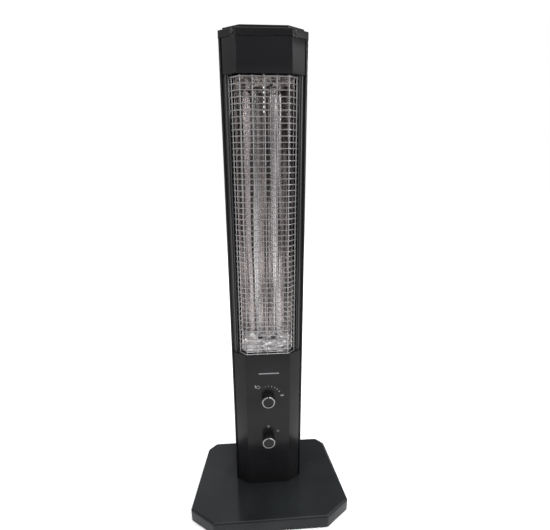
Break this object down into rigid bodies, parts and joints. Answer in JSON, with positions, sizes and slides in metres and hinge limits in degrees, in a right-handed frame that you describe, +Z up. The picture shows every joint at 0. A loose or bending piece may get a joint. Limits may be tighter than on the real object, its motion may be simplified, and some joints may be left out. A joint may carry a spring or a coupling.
{
  "type": "outdoor heater",
  "caption": "Free-standing infrared patio heater: faceted steel column on a weighted chamfered base, quartz lamps and bright reflector behind a wire guard, two rotary controls.",
  "frame": {"origin": "on the floor under the middle of the base plate", "axes": "+Z up along the column, the front with the controls faces -Y, +X to the right seen from the front"},
  "size_m": [0.401, 0.257, 1.1185],
  "materials": {
    "base_paint": "gloss black paint",
    "black_paint": "gloss black paint",
    "chassis_paint": "satin black paint",
    "guard_wire": "bright plated wire",
    "bright_aluminium": "bright, slightly crinkled",
    "quartz": "clear quartz",
    "coil_wire": "oxidised resistance wire",
    "steatite": "unglazed",
    "zinc_steel": "zinc plated",
    "black_screw": "blackened steel",
    "gloss_black_plastic": "polished",
    "chrome_trim": "polished chrome plating",
    "black_rubber": "moulded",
    "cement": "cast",
    "grey_plastic": "moulded"
  },
  "bodies": {
    "heater": {"ballast_block": "cement", "base_cover": "base_paint", "bottom_plate": "zinc_steel", "cap_screw_left": "black_screw", "cap_screw_right": "black_screw", "cap_tab_left": "zinc_steel", "cap_tab_right": "zinc_steel", "column_bolt_front_left": "zinc_steel", "column_bolt_front_right": "zinc_steel", "column_bolt_rear_left": "zinc_steel", "column_bolt_rear_right": "zinc_steel", "column_bracket": "zinc_steel", "control_panel": "black_paint", "cord_gland": "black_rubber", "foot_front_left": "black_rubber", "foot_front_right": "black_rubber", "foot_rear_left": "black_rubber", "foot_rear_right": "black_rubber", "head_panel": "black_paint", "heat_regulator": "grey_plastic", "heating_coil_left": "coil_wire", "heating_coil_right": "coil_wire", "lamp_holder_high_left": "steatite", "lamp_holder_high_right": "steatite", "lamp_holder_low_left": "steatite", "lamp_holder_low_right": "steatite", "lamp_selector_switch": "grey_plastic", "lamp_shelf_high": "zinc_steel", "lamp_shelf_low": "zinc_steel", "quartz_tube_left": "quartz", "quartz_tube_right": "quartz", "rail_left": "chassis_paint", "rail_right": "chassis_paint", "rear_cover": "black_paint", "rear_screw_high_left": "black_screw", "rear_screw_high_right": "black_screw", "rear_screw_low_left": "black_screw", "rear_screw_low_right": "black_screw", "rear_screw_middle_left": "black_screw", "rear_screw_middle_right": "black_screw", "reflector_ceiling": "bright_aluminium", "reflector_floor": "bright_aluminium", "reflector_left": "bright_aluminium", "reflector_right": "bright_aluminium", "regulator_nut": "zinc_steel", "selector_nut": "zinc_steel", "side_panel_left": "black_paint", "side_panel_right": "black_paint", "terminal_block": "steatite", "tilt_switch": "grey_plastic", "top_cap": "black_paint", "wire_guard": "guard_wire"},
    "regulator_control": {"regulator_knob": "gloss_black_plastic", "regulator_knob_ring": "chrome_trim", "regulator_shaft": "zinc_steel"},
    "selector_control": {"selector_knob": "gloss_black_plastic", "selector_knob_ring": "chrome_trim", "selector_shaft": "zinc_steel"}
  },
  "joints": [
    {"name": "regulator_turn", "type": "hinge", "parent": "heater", "child": "regulator_control", "pos_m": [0, -0.021, 0.3065], "axis": [0, 1, 0], "range_deg": [-41, 84]},
    {"name": "selector_turn", "type": "hinge", "parent": "heater", "child": "selector_control", "pos_m": [0, -0.021, 0.1845], "axis": [0, 1, 0], "range_deg": [0, 50]}
  ]
}
